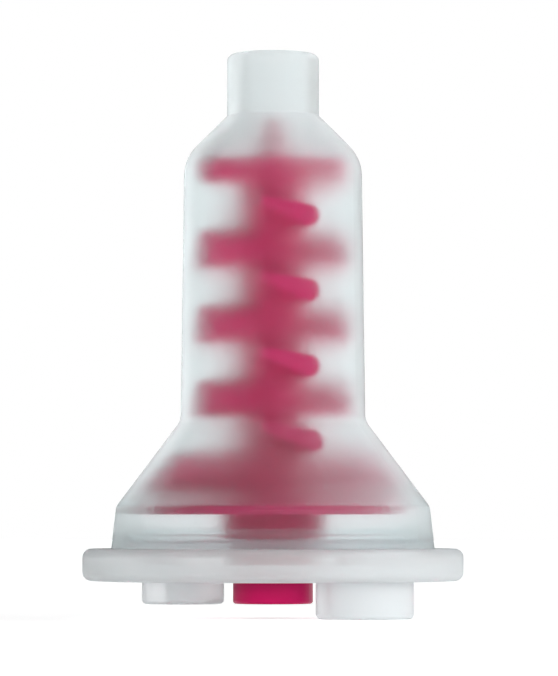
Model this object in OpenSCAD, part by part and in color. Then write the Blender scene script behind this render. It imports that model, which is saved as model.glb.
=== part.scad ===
// Dynamic mixing tip for two pastes: a frosted housing closed by a rear cover with
// two inlet sockets, and a bladed rotor that a drive shaft turns from behind.
// Millimetres. The axis is Z, the outlet is up, and the base inlet lies towards +X.
// Z = 0 is the mouth of the base inlet, the lowest point of the part.

/* [Rear cover] */
// Radius of the flange
flange_r = 20; // [18:0.1:24]
// Thickness of the flange at its rim
flange_t = 3.4; // [2.6:0.1:5]
// Rounding of the flange's outer edges
flange_edge_r = 0.95; // [0.3:0.05:1.2]
// Width of the solid rim around the cored underside
rim_w = 1.7; // [1.2:0.1:2.4]
// Thickness of the plate between the rim and the bearing
plate_t = 1.6; // [1.2:0.1:2.2]
// Height of the spigot that plugs into the housing's skirt
spigot_h = 2; // [1.5:0.1:3]
// Wall of the spigot
spigot_wall = 1; // [0.7:0.05:1.4]
// Depth of the seat in the flange that the skirt's foot stands in
seat_depth = 0.3; // [0.2:0.05:0.5]
// Clearance of the skirt's foot on the spigot and in the seat
skirt_clearance = 0.05; // [0.02:0.01:0.15]
// How far the snap bead stands out of the spigot
bead_h = 0.25; // [0.15:0.05:0.4]
// Radius of the bearing boss that carries the rotor
boss_r = 6; // [5.6:0.1:6.6]
// Height of the bearing boss above the plate
boss_h = 0.9; // [0.5:0.1:1.5]
// Wall of the bearing tube below the plate
bearing_wall = 0.9; // [0.7:0.05:1.2]

/* [Inlets] */
// Distance of both inlets from the axis
inlet_reach = 10.7; // [10.4:0.1:11.5]
// Outer radius of the base paste socket
base_socket_r = 5.1; // [4.6:0.05:5.4]
// Length of the base paste socket below the flange
base_socket_len = 3.9; // [3:0.1:6]
// Bore radius of the base paste inlet
base_bore_r = 3.6; // [2.6:0.05:3.9]
// Outer radius of the catalyst paste socket
catalyst_socket_r = 4.35; // [3.6:0.05:5]
// Length of the catalyst paste socket below the flange
catalyst_socket_len = 2.5; // [1.6:0.1:2.9]
// Bore radius of the catalyst paste inlet
catalyst_bore_r = 1.6; // [1.2:0.05:2.6]
// Rounding of the sockets' outer mouth edges
socket_edge_r = 0.5; // [0.2:0.05:0.8]

/* [Housing] */
// Wall of the housing, measured square to it
wall = 1.3; // [1:0.05:1.6]
// Outer radius of the skirt at its foot
skirt_r = 17; // [16.5:0.1:18]
// Narrowing of the skirt's radius from its foot to the flare
skirt_draft = 0.55; // [0.2:0.05:0.8]
// Height of the skirt
skirt_h = 4.4; // [4:0.1:6]
// Wall of the skirt at its foot
skirt_wall = 1.5; // [1.2:0.05:1.9]
// Height of the flare between skirt and barrel
flare_h = 9; // [7:0.25:12]
// Rounding where the skirt turns into the flare
flare_foot_edge_r = 1.5; // [0.5:0.1:2]
// Rounding where the flare turns into the barrel
flare_top_edge_r = 2; // [0.5:0.1:3]
// Outer radius of the barrel at its foot
barrel_r = 9.7; // [9:0.1:11]
// Narrowing of the barrel's radius from its foot to the shoulder
barrel_draft = 0.35; // [0.1:0.05:0.6]
// Height of the barrel
barrel_h = 27.6; // [22:0.2:34]
// Rounding of the shoulder between barrel and cone
shoulder_edge_r = 4.5; // [1:0.25:5]
// Height of the cone between the shoulder and the nozzle
cone_h = 4.5; // [3.5:0.1:6]
// Outer radius of the nozzle
nozzle_r = 4.84; // [4.6:0.02:5.2]
// Length of the nozzle
nozzle_len = 6.55; // [5:0.1:9]
// Bore radius of the nozzle
nozzle_bore_r = 3.25; // [2.8:0.05:3.4]
// Rounding of the nozzle's outer end edge
nozzle_edge_r = 0.8; // [0.2:0.05:1]

/* [Rotor] */
// Radius of the drive hub that turns in the bearing
hub_r = 4.2; // [4:0.05:4.4]
// Radial running clearance of the hub in its bearing
hub_clearance = 0.06; // [0.03:0.01:0.1]
// How far the hub stands out below the flange
hub_reach = 2.4; // [1.5:0.1:2.9]
// Width across the flats of the hex drive socket
socket_flats = 6; // [5:0.1:6.2]
// Depth of the hex drive socket
socket_depth = 8.4; // [5:0.1:8.8]
// Radius of the collar that runs on the boss
collar_r = 5.4; // [5.1:0.1:5.6]
// Height of the collar between boss and disc
collar_h = 2.6; // [2:0.1:3.2]
// Axial play between collar and boss
thrust_play = 0.05; // [0.02:0.01:0.15]
// Radial gap between the disc's rim and the skirt's bore
disc_gap = 1.8; // [1:0.1:3]
// Thickness of the disc
disc_t = 0.9; // [0.7:0.1:1.4]
// Radius of the shaft
shaft_r = 3.4; // [2.8:0.05:3.8]
// Radius of the shaft's conical foot on the disc
foot_r = 5; // [4.2:0.1:5.6]
// Height of the shaft's conical foot
foot_h = 1.2; // [0.6:0.1:1.6]
// Gap between the blades and the housing's inside
blade_gap = 0.5; // [0.3:0.05:0.9]
// Width of the blades
blade_w = 6.4; // [5:0.1:6.5]
// Height between one blade level and the next, which is turned by a quarter
level_pitch = 3.92; // [3.7:0.02:5]
// Height of the blunt edge on the top level
top_blade_h = 2.9; // [2.2:0.1:3.4]
// Height of the blunt edge on the other even levels
even_blade_h = 4.1; // [3.2:0.1:4.2]
// Height of the blunt edge on the odd levels
odd_blade_h = 2.2; // [1.8:0.1:2.5]
// Height of the blades' thin edge
thin_edge_h = 0.9; // [0.6:0.1:1.4]
// Slope of the even blades below the top, down towards their blunt edge
even_blade_slope = 3; // [0:0.5:4]
// Slope of the odd blades, down towards their blunt edge
odd_blade_slope = 9; // [4:0.5:10]
// How far the odd levels lie below the middle between their neighbours
odd_drop = 0.2; // [0:0.05:0.3]
// How far the top of the rotor lies below the shoulder's corner
top_drop = 0.05; // [0:0.05:0.6]
// Radius of the nose pin at its foot
nose_r = 1.7; // [1.2:0.1:2.2]
// Radius of the nose pin's tip
nose_tip_r = 0.6; // [0.4:0.05:0.8]
// How far the nose pin ends below the nozzle's bore
nose_gap = 0.4; // [0.1:0.05:1]

/* [Hidden] */
$fn = 96;

frosted = [0.86, 0.90, 0.91, 0.55];
crimson = [0.68, 0.05, 0.29];

// Overshoot of a cut past the face that it opens
past = 1;
// Angle of the first blade level from the inlets' line
first_level_angle = 41;
// Least gap between the lowest blades and the disc
lowest_blade_gap = 0.9;
// Depth of the first level's middle below the top of the rotor
first_level_depth = 1.9;
// Small roundings of the rotor's turned edges
rotor_edge_r = 0.3;
// Where a blade's ramp meets its blunt edge, as a share of that edge's radius
ramp_meet = 0.99;

// Heights of the rear cover
flange_z = base_socket_len;
plate_z = flange_z + flange_t;
boss_z = plate_z + boss_h;
seat_z = plate_z - seat_depth;

// Heights and radii of the housing, whose skirt stands in the flange's seat
skirt_foot_z = seat_z + skirt_clearance;
skirt_bore_r = skirt_r - skirt_wall;
knee_r = skirt_r - skirt_draft;
knee_z = plate_z + skirt_h;
barrel_z = knee_z + flare_h;
shoulder_r = barrel_r - barrel_draft;
shoulder_z = barrel_z + barrel_h;
nozzle_z = shoulder_z + cone_h;
outlet_z = nozzle_z + nozzle_len;

// The inner flare and cone lie one wall inside the outer ones
flare_run = (knee_r - barrel_r) / flare_h;
flare_inset = wall * sqrt(1 + flare_run * flare_run);
cone_run = (shoulder_r - nozzle_r) / cone_h;
cone_inset = wall * sqrt(1 + cone_run * cone_run);
inner_knee_z = knee_z + (knee_r - flare_inset - skirt_bore_r) / flare_run;
inner_barrel_z = barrel_z + (wall - flare_inset) / flare_run;
inner_shoulder_z = shoulder_z + (wall - cone_inset) / cone_run;
inner_barrel_r = barrel_r - wall;
inner_shoulder_r = shoulder_r - wall;
nozzle_bore_z = shoulder_z + (shoulder_r - cone_inset - nozzle_bore_r) / cone_run;

// The snap bead and its groove in the skirt
spigot_r = skirt_bore_r - skirt_clearance;
bead_z = plate_z + spigot_h / 2;
bead_round_r = 2 * bead_h;

// Heights of the rotor
hub_z = flange_z - hub_reach;
collar_z = boss_z + thrust_play;
disc_z = collar_z + collar_h;
disc_top_z = disc_z + disc_t;
rotor_top_z = shoulder_z - top_drop;
nose_top_z = nozzle_bore_z - nose_gap;
disc_r = skirt_bore_r - disc_gap;

// Blade levels, counted down from the top
blade_root_r = shaft_r / 2;
first_level_z = rotor_top_z - first_level_depth;
lowest_level_z = disc_top_z + lowest_blade_gap + even_blade_h / 2;
level_count = floor((first_level_z - lowest_level_z) / level_pitch) + 1;

function unit(v) = v / norm(v);
function turn(a, p, b) = (p.x - a.x) * (b.y - p.y) - (p.y - a.y) * (b.x - p.x);
function half_angle(a, p, b) = acos(unit(a - p) * unit(b - p)) / 2;
function tangent_point(p, q, len) = p + unit(q - p) * len;

// Circle segment between a corner's two tangent points
module corner_segment(a, p, b, r) {
    half = half_angle(a, p, b);
    first = tangent_point(p, a, r / tan(half));
    last = tangent_point(p, b, r / tan(half));
    outward = unit(2 * p - first - last);
    intersection() {
        translate(p - outward * r / sin(half)) circle(r);
        polygon([first, first + outward * r, last + outward * r, last]);
    }
}

// Outline through counter-clockwise corners [x, y, rounding radius]
module rounded_outline(corners) {
    count = len(corners);
    points = [for (c = corners) [c[0], c[1]]];
    before = [for (i = [0 : count - 1]) points[(i + count - 1) % count]];
    after = [for (i = [0 : count - 1]) points[(i + 1) % count]];
    rounded = [for (i = [0 : count - 1]) if (corners[i][2] > 0) i];
    cut = [for (i = [0 : count - 1]) corners[i][2] / tan(half_angle(before[i], points[i], after[i]))];
    difference() {
        union() {
            polygon([for (i = [0 : count - 1]) each cut[i] > 0
                ? [tangent_point(points[i], before[i], cut[i]), tangent_point(points[i], after[i], cut[i])]
                : [points[i]]]);
            for (i = rounded) if (turn(before[i], points[i], after[i]) > 0)
                corner_segment(before[i], points[i], after[i], corners[i][2]);
        }
        for (i = rounded) if (turn(before[i], points[i], after[i]) < 0)
            corner_segment(before[i], points[i], after[i], corners[i][2]);
    }
}

// Half-round ring around the spigot, grown by a clearance for its groove
module snap_ring(clearance) {
    rotate_extrude()
        translate([spigot_r + bead_h - bead_round_r, bead_z]) circle(bead_round_r + clearance);
}

// Housing: skirt, flare, barrel, cone and nozzle in one wall
module mixer_housing() {
    color(frosted) difference() {
        rotate_extrude() rounded_outline([
            [skirt_bore_r, skirt_foot_z, 0],
            [skirt_r, skirt_foot_z, 0],
            [knee_r, knee_z, flare_foot_edge_r],
            [barrel_r, barrel_z, flare_top_edge_r],
            [shoulder_r, shoulder_z, shoulder_edge_r],
            [nozzle_r, nozzle_z, 0],
            [nozzle_r, outlet_z, nozzle_edge_r],
            [nozzle_bore_r, outlet_z, 0],
            [nozzle_bore_r, nozzle_bore_z, 0],
            [inner_shoulder_r, inner_shoulder_z, 0],
            [inner_barrel_r, inner_barrel_z, 0],
            [skirt_bore_r, inner_knee_z, 0],
        ]);
        snap_ring(skirt_clearance);
    }
}

// One inlet socket, from the plate down to its mouth
module inlet_socket(r, len) {
    rotate_extrude() rounded_outline([
        [0, flange_z - len, 0],
        [r, flange_z - len, socket_edge_r],
        [r, plate_z - plate_t / 2, 0],
        [0, plate_z - plate_t / 2, 0],
    ]);
}

// Flange, cored from below, with the skirt's seat, the spigot and the bearing boss on top
module cover_plate() {
    core_r = flange_r - rim_w;
    bearing_r = hub_r + hub_clearance + bearing_wall;
    seat_r = skirt_r + skirt_clearance;
    rotate_extrude() rounded_outline([
        [core_r, flange_z, 0],
        [flange_r, flange_z, flange_edge_r],
        [flange_r, plate_z, flange_edge_r],
        [seat_r, plate_z, 0],
        [seat_r, seat_z, 0],
        [spigot_r, seat_z, 0],
        [spigot_r, plate_z + spigot_h, 0],
        [spigot_r - spigot_wall, plate_z + spigot_h, 0],
        [spigot_r - spigot_wall, plate_z, 0],
        [boss_r, plate_z, 0],
        [boss_r, boss_z, 0],
        [0, boss_z, 0],
        [0, flange_z, 0],
        [bearing_r, flange_z, 0],
        [bearing_r, plate_z - plate_t, 0],
        [core_r, plate_z - plate_t, 0],
    ]);
}

// Rear cover: plate, snap bead and both inlet sockets, with their bores
module rear_cover() {
    inlets = [
        [inlet_reach, base_socket_r, base_socket_len, base_bore_r],
        [-inlet_reach, catalyst_socket_r, catalyst_socket_len, catalyst_bore_r],
    ];
    color(frosted) difference() {
        union() {
            cover_plate();
            snap_ring(0);
            for (i = inlets) translate([i[0], 0, 0]) inlet_socket(i[1], i[2]);
        }
        for (i = inlets) translate([i[0], 0, flange_z - i[2] - past])
            cylinder(r = i[3], h = plate_z - flange_z + i[2] + 2 * past);
        translate([0, 0, flange_z - past])
            cylinder(r = hub_r + hub_clearance, h = boss_z - flange_z + 2 * past);
    }
}

// Turned core of the rotor: hub, collar, disc, shaft and nose pin
module rotor_core() {
    rotate_extrude() rounded_outline([
        [0, hub_z, 0],
        [hub_r, hub_z, rotor_edge_r],
        [hub_r, collar_z, 0],
        [collar_r, collar_z, 0],
        [collar_r, disc_z, 0],
        [disc_r, disc_z, rotor_edge_r],
        [disc_r, disc_top_z, rotor_edge_r],
        [foot_r, disc_top_z, 0],
        [shaft_r, disc_top_z + foot_h, 0],
        [shaft_r, rotor_top_z, 0],
        [nose_r, rotor_top_z, 0],
        [nose_tip_r, nose_top_z, rotor_edge_r],
        [0, nose_top_z, 0],
    ]);
}

// Space that the blades may fill: the housing's inside less the blade gap
module blade_space() {
    flare_gap = blade_gap * sqrt(1 + flare_run * flare_run);
    cone_gap = blade_gap * sqrt(1 + cone_run * cone_run);
    cone_top_r = shoulder_r - cone_inset - cone_gap + top_drop * cone_run;
    rotate_extrude() polygon([
        [0, disc_top_z],
        [knee_r - flare_inset - flare_gap - (disc_top_z - knee_z) * flare_run, disc_top_z],
        [inner_barrel_r - blade_gap, inner_barrel_z + (blade_gap - flare_gap) / flare_run],
        [inner_shoulder_r - blade_gap, inner_shoulder_z + (blade_gap - cone_gap) / cone_run],
        [cone_top_r, rotor_top_z],
        [0, rotor_top_z],
    ]);
}

// Wedge section of a blade: flat on one side, with a ramp that runs onto a round blunt edge.
// The ramp rises for ramp = 1 and falls for ramp = -1. The slope takes the blunt edge down.
module blade_section(h, ramp, slope) {
    blunt_x = blade_w / 2 - h / 2;
    meet_r = ramp_meet * h / 2;
    thin = [-blade_w / 2 - blunt_x, thin_edge_h - h / 2];
    meet = atan2(thin.y, thin.x) + 360 - acos(meet_r / norm(thin));
    corners = [
        [thin.x, -h / 2],
        [0, -h / 2],
        meet_r * [cos(meet), sin(meet)],
        thin,
    ];
    rotate(-slope) translate([blunt_x, 0]) {
        polygon(ramp > 0 ? corners : [for (i = [3 : -1 : 0]) [corners[i].x, -corners[i].y]]);
        circle(h / 2);
    }
}

// Two opposite blades that stand out of the shaft
module blade_pair(h, ramp, slope) {
    for (side = [0, 180]) rotate([0, 0, side])
        translate([blade_root_r, 0, 0]) rotate([90, 0, 90])
            linear_extrude(skirt_r) blade_section(h, ramp, slope);
}

// Blade pair of one level, in its place above or below the level's middle
module level_blades(level) {
    if (level == 0)
        translate([0, 0, first_level_depth - top_blade_h / 2]) blade_pair(top_blade_h, -1, 0);
    else if (level % 2 == 0)
        blade_pair(even_blade_h, 1, even_blade_slope);
    else
        translate([0, 0, -odd_drop]) blade_pair(odd_blade_h, -1, odd_blade_slope);
}

// All blade levels, trimmed to the housing's inside. Each is turned by a quarter from the one above.
module blades() {
    for (level = [0 : level_count - 1]) intersection() {
        translate([0, 0, first_level_z - level * level_pitch])
            rotate([0, 0, first_level_angle + 90 * level]) level_blades(level);
        blade_space();
    }
}

// Rotor: bladed shaft on a disc, with a hex drive socket in its hub
module mixing_rotor() {
    color(crimson) difference() {
        union() {
            rotor_core();
            blades();
        }
        translate([0, 0, hub_z - past])
            cylinder(d = socket_flats / cos(30), h = socket_depth + past, $fn = 6);
    }
}

mixer_housing();
rear_cover();
mixing_rotor();
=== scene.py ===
# Dynamic mixing tip: the finish of its three mouldings, with light, floor and camera.
# Metres, in the part's own frame: the mixing axis is Z, and the base inlet lies towards +X.
import math

import bpy
from mathutils import Matrix, Vector

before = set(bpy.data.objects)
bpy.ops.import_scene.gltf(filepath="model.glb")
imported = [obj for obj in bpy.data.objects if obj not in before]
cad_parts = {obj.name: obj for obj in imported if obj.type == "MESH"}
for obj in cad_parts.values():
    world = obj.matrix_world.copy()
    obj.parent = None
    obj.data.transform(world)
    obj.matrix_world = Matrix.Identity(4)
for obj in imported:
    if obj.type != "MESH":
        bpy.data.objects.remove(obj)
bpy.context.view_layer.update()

MM = 0.001

# Photograph's frame in pixels, and its scale at the mixing axis
IMAGE_W = 558
IMAGE_H = 676
PIXELS_PER_MM = 9.51

# Where the camera stands, and the point beside the mixing axis that it looks at
CAMERA_AZIMUTH = math.radians(27)
CAMERA_ELEVATION = math.radians(-2.5)
CAMERA_DISTANCE = 450 * MM
AIM_HEIGHT = 29.4 * MM
AIM_RIGHT = 0.63 * MM
SENSOR = 36

# Directions of the view in the part's frame
RIGHT = Vector((math.cos(CAMERA_AZIMUTH), math.sin(CAMERA_AZIMUTH), 0))
NEAR = Vector((math.sin(CAMERA_AZIMUTH), -math.cos(CAMERA_AZIMUTH), 0))
UP = Vector((0, 0, 1))

# Heights at which the finish of the mouldings changes
FLANGE_TOP = 7.35 * MM
SKIRT_TOP = 11.7 * MM
FLARE_TOP = 20.7 * MM
SHOULDER = 48.3 * MM
ABOVE = 100 * MM

# Each colour runs between two shades
CLEAR = ((0.968, 0.99, 0.992), (0.978, 0.998, 1.0))
THICK = ((0.95, 0.97, 0.972), (0.965, 0.983, 0.985))
MILKY = ((0.95, 0.975, 0.98), (0.975, 0.99, 0.995))
CRIMSON = ((0.55, 0.003, 0.096), (0.61, 0.005, 0.116))
PAPER = ((0.88, 0.88, 0.88), (0.92, 0.92, 0.92))
COOL_TO_WARM = ((0.96, 0.99, 1.0), (1.0, 0.985, 0.975))

# Optical index of the plastic's skin, and of the clear walls, where a low one keeps the view soft
SKIN_INDEX = 1.49
WALL_INDEX = 1.2
SPIGOT_INDEX = 1.05

# How much of the studio's light is missing on each side of the part and above it,
# for rays that light a surface, are mirrored by it, or pass through it
LEFT_DIM = (0.1, 0.5, 0.66)
RIGHT_DIM = (0.0, 0.2, 0.0)
FRONT_DIM = (0.8, 0.6, 0.0)
BACK_DIM = (0.4, 0.5, 0.0)
OVERHEAD_DIM = (0.6, 0.2, 0.0)

# Floor: half its width, the white that the plastic mirrors and passes,
# and the white that the camera sees, which is less near the part, where its shadow falls
FLOOR_HALF = 2.0
FLOOR_WHITE = 0.85
NEAR_FLOOR = 100 * MM
NEAR_WHITE = 0.68
FAR_FLOOR = 400 * MM
FAR_WHITE = 0.85

# Lamps: the way to each from the point it is aimed at, its width and height, and its watts
KEY_PLACE = (RIGHT + NEAR * 0.35 + UP * 0.1) * 400 * MM
KEY_SIZE = (250 * MM, 100 * MM)
KEY_WATTS = 0.95
LOW_PLACE = (NEAR - RIGHT * 0.15) * 450 * MM
LOW_SIZE = (450 * MM, 60 * MM)
LOW_WATTS = 1.05


def node_of(tree, kind, **values):
    """A new shader node with plain values on its sockets."""
    made = tree.nodes.new(kind)
    for name, value in values.items():
        made.inputs[name.replace("_", " ")].default_value = value
    return made


def new_material(name, **values):
    """A material, its node tree and its Principled shader with plain values on its sockets."""
    material = bpy.data.materials.new(name)
    material.use_nodes = True
    tree = material.node_tree
    shader = tree.nodes["Principled BSDF"]
    for socket, value in values.items():
        shader.inputs[socket.replace("_", " ")].default_value = value
    return material, tree, shader


def noise(tree, grain, detail=3.0):
    """Noise in the piece's own coordinates, with grains of about that size."""
    place = tree.nodes.new("ShaderNodeTexCoord")
    texture = node_of(tree, "ShaderNodeTexNoise", Scale=1 / grain, Detail=detail)
    tree.links.new(place.outputs["Object"], texture.inputs["Vector"])
    return texture.outputs["Fac"]


def spread(tree, value, low, high):
    """The middle stretch of a noise value, spread over a range."""
    made = node_of(tree, "ShaderNodeMapRange", From_Min=0.3, From_Max=0.7, To_Min=low, To_Max=high)
    tree.links.new(value, made.inputs["Value"])
    return made.outputs["Result"]


def tint(tree, value, first, second):
    """A colour that runs from first to second over the middle stretch of a value."""
    ramp = tree.nodes.new("ShaderNodeValToRGB")
    ramp.color_ramp.elements[0].position = 0.3
    ramp.color_ramp.elements[0].color = (*first, 1)
    ramp.color_ramp.elements[1].position = 0.7
    ramp.color_ramp.elements[1].color = (*second, 1)
    tree.links.new(value, ramp.inputs["Fac"])
    return ramp.outputs["Color"]


def bump(tree, value, strength, depth):
    """A bump normal from a height value."""
    made = node_of(tree, "ShaderNodeBump", Strength=strength, Distance=depth)
    tree.links.new(value, made.inputs["Height"])
    return made.outputs["Normal"]


def frosted_plastic(name, shades, rough, milk, index=WALL_INDEX):
    """Translucent moulded plastic: clear but for its satin skin, with a share of milky scatter."""
    material, tree, shader = new_material(name, IOR=SKIN_INDEX, Specular_IOR_Level=0.5)
    glass = node_of(tree, "ShaderNodeBsdfGlass", IOR=index)
    glass.distribution = "MULTI_GGX"
    cloud = noise(tree, 6 * MM)
    grain = noise(tree, 0.3 * MM, 2.0)
    colour = tint(tree, cloud, *shades)
    roughness = spread(tree, cloud, *rough)
    normal = bump(tree, grain, 0.15, 0.02 * MM)
    for target, slot in ((shader, "Base Color"), (glass, "Color")):
        tree.links.new(colour, target.inputs[slot])
        tree.links.new(roughness, target.inputs["Roughness"])
        tree.links.new(normal, target.inputs["Normal"])
    both = node_of(tree, "ShaderNodeMixShader", Fac=milk)
    tree.links.new(glass.outputs[0], both.inputs[1])
    tree.links.new(shader.outputs[0], both.inputs[2])
    tree.links.new(both.outputs[0], tree.nodes["Material Output"].inputs["Surface"])
    return material


def crimson_plastic():
    """Coloured moulded plastic with faint swirls of pigment."""
    material, tree, shader = new_material("crimson_plastic", IOR=SKIN_INDEX, Specular_IOR_Level=0.22)
    swirl = noise(tree, 4 * MM, 4.0)
    grain = noise(tree, 0.25 * MM, 2.0)
    tree.links.new(tint(tree, swirl, *CRIMSON), shader.inputs["Base Color"])
    tree.links.new(spread(tree, swirl, 0.32, 0.42), shader.inputs["Roughness"])
    tree.links.new(bump(tree, grain, 0.2, 0.015 * MM), shader.inputs["Normal"])
    return material


def paint(node, *zones):
    """Gives each face the first material whose zone reaches above the face's middle."""
    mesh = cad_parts[node].data
    mesh.materials.clear()
    for material, top in zones:
        mesh.materials.append(material)
    for face in mesh.polygons:
        face.material_index = next(n for n, zone in enumerate(zones) if face.center.z < zone[1])


def math_node(tree, operation, first, second):
    """The result of one step of arithmetic on two sockets or numbers."""
    made = tree.nodes.new("ShaderNodeMath")
    made.operation = operation
    for socket, value in zip(made.inputs, (first, second)):
        if isinstance(value, (int, float)):
            socket.default_value = value
        else:
            tree.links.new(value, socket)
    return made.outputs[0]


def facing(tree, direction, low, high):
    """How far a world ray points along a direction, from 0 at low to 1 at high."""
    place = tree.nodes.new("ShaderNodeTexCoord")
    along = tree.nodes.new("ShaderNodeVectorMath")
    along.operation = "DOT_PRODUCT"
    along.inputs[1].default_value = direction
    tree.links.new(place.outputs["Generated"], along.inputs[0])
    made = node_of(tree, "ShaderNodeMapRange", From_Min=low, From_Max=high)
    made.interpolation_type = "SMOOTHSTEP"
    tree.links.new(along.outputs["Value"], made.inputs["Value"])
    return made.outputs["Result"]


def by_ray(tree, path, lit, mirrored, passed):
    """One of three numbers, by the kind of ray. A ray that passes through frosted plastic is glossy too."""
    through = path.outputs["Is Transmission Ray"]
    glossy = math_node(tree, "MULTIPLY", path.outputs["Is Glossy Ray"], mirrored - lit)
    outside = math_node(tree, "ADD", glossy, lit)
    kept = math_node(tree, "MULTIPLY", outside, math_node(tree, "SUBTRACT", 1.0, through))
    return math_node(tree, "ADD", kept, math_node(tree, "MULTIPLY", through, passed))


def make_world():
    """A studio that is dimmer on some sides of the part than on others, and white to the camera."""
    world = bpy.data.worlds.new("studio")
    bpy.context.scene.world = world
    world.use_nodes = True
    tree = world.node_tree
    tree.nodes.clear()
    path = tree.nodes.new("ShaderNodeLightPath")
    left = facing(tree, -RIGHT, -0.12, 0.25)
    sides = (
        (left, LEFT_DIM),
        (facing(tree, RIGHT, 0.5, 0.9), RIGHT_DIM),
        (facing(tree, NEAR, -0.2, 0.6), FRONT_DIM),
        (facing(tree, -NEAR, 0.2, 0.8), BACK_DIM),
        (facing(tree, UP, 0.0, 0.8), OVERHEAD_DIM),
    )
    level = 1.0
    for side, dim in sides:
        missing = math_node(tree, "MULTIPLY", side, by_ray(tree, path, *dim))
        level = math_node(tree, "MULTIPLY", level, math_node(tree, "SUBTRACT", 1.0, missing))
    studio = tree.nodes.new("ShaderNodeBackground")
    tree.links.new(tint(tree, left, *COOL_TO_WARM), studio.inputs["Color"])
    tree.links.new(level, studio.inputs["Strength"])
    backdrop = node_of(tree, "ShaderNodeBackground", Color=(1, 1, 1, 1), Strength=1.0)
    straight = tree.nodes.new("ShaderNodeMixShader")
    tree.links.new(path.outputs["Is Camera Ray"], straight.inputs["Fac"])
    tree.links.new(studio.outputs[0], straight.inputs[1])
    tree.links.new(backdrop.outputs[0], straight.inputs[2])
    output = tree.nodes.new("ShaderNodeOutputWorld")
    tree.links.new(straight.outputs[0], output.inputs["Surface"])


def floor_white(tree):
    """How white the floor is by itself: for the camera by the distance from the part, else by the ray."""
    path = tree.nodes.new("ShaderNodeLightPath")
    place = tree.nodes.new("ShaderNodeTexCoord")
    away = tree.nodes.new("ShaderNodeVectorMath")
    away.operation = "LENGTH"
    tree.links.new(place.outputs["Object"], away.inputs[0])
    seen = node_of(
        tree, "ShaderNodeMapRange",
        From_Min=NEAR_FLOOR, From_Max=FAR_FLOOR, To_Min=NEAR_WHITE, To_Max=FAR_WHITE,
    )
    tree.links.new(away.outputs["Value"], seen.inputs["Value"])
    straight = math_node(tree, "MULTIPLY", path.outputs["Is Camera Ray"], seen.outputs["Result"])
    return math_node(tree, "ADD", straight, by_ray(tree, path, 0.0, FLOOR_WHITE, FLOOR_WHITE))


def make_floor():
    """A white floor that keeps the part's shadow."""
    mesh = bpy.data.meshes.new("floor")
    turns = ((-1, -1), (1, -1), (1, 1), (-1, 1))
    corners = [(x * FLOOR_HALF, y * FLOOR_HALF, 0) for x, y in turns]
    mesh.from_pydata(corners, [], [(0, 1, 2, 3)])
    floor = bpy.data.objects.new("floor", mesh)
    bpy.context.scene.collection.objects.link(floor)
    material, tree, shader = new_material(
        "white_floor", Roughness=0.9, Specular_IOR_Level=0.1, Emission_Color=(1, 1, 1, 1),
    )
    paper = noise(tree, 30 * MM)
    tree.links.new(tint(tree, paper, *PAPER), shader.inputs["Base Color"])
    tree.links.new(floor_white(tree), shader.inputs["Emission Strength"])
    mesh.materials.append(material)


def make_lamp(name, place, size, watts):
    """A soft lamp that looks at the middle of the part, and isn't seen in or through its plastic."""
    data = bpy.data.lights.new(name, "AREA")
    data.shape = "RECTANGLE"
    data.size, data.size_y = size
    data.energy = watts
    lamp = bpy.data.objects.new(name, data)
    lamp.location = UP * AIM_HEIGHT + place
    lamp.rotation_euler = place.to_track_quat("Z", "Y").to_euler()
    lamp.visible_glossy = False
    lamp.visible_transmission = False
    bpy.context.scene.collection.objects.link(lamp)


def make_camera():
    """Camera at the photograph's angle, with its scale at the mixing axis."""
    data = bpy.data.cameras.new("camera")
    data.sensor_width = SENSOR
    data.lens = PIXELS_PER_MM / MM * CAMERA_DISTANCE * SENSOR / max(IMAGE_W, IMAGE_H)
    data.clip_start = 10 * MM
    data.clip_end = 20
    camera = bpy.data.objects.new("camera", data)
    back = NEAR * math.cos(CAMERA_ELEVATION) + UP * math.sin(CAMERA_ELEVATION)
    top = back.cross(RIGHT)
    turn = Matrix((RIGHT, top, back)).transposed().to_4x4()
    aim = UP * AIM_HEIGHT + RIGHT * AIM_RIGHT
    camera.matrix_world = Matrix.Translation(aim + back * CAMERA_DISTANCE) @ turn
    bpy.context.scene.collection.objects.link(camera)
    bpy.context.scene.camera = camera


# Finish of each moulding, from its foot up
paint(
    "mixer_housing",
    (frosted_plastic("frosted_skirt", CLEAR, (0.38, 0.43), 0.02), SKIRT_TOP),
    (frosted_plastic("frosted_flare", CLEAR, (0.76, 0.82), 0.02), FLARE_TOP),
    (frosted_plastic("frosted_barrel", CLEAR, (0.74, 0.80), 0.01), SHOULDER),
    (frosted_plastic("frosted_nozzle", THICK, (0.70, 0.76), 0.14), ABOVE),
)
paint(
    "rear_cover",
    (frosted_plastic("milky_cover", MILKY, (0.38, 0.46), 0.38), FLANGE_TOP),
    (frosted_plastic("clear_cover", CLEAR, (0.08, 0.12), 0.05, SPIGOT_INDEX), ABOVE),
)
paint("mixing_rotor", (crimson_plastic(), ABOVE))

# Studio
make_world()
make_floor()
make_lamp("key", KEY_PLACE, KEY_SIZE, KEY_WATTS)
make_lamp("low", LOW_PLACE, LOW_SIZE, LOW_WATTS)
make_camera()

scene = bpy.context.scene
scene.view_settings.view_transform = "Standard"
scene.cycles.use_denoising = True
scene.cycles.max_bounces = 40
scene.cycles.transmission_bounces = 40
scene.cycles.glossy_bounces = 16
scene.cycles.diffuse_bounces = 8
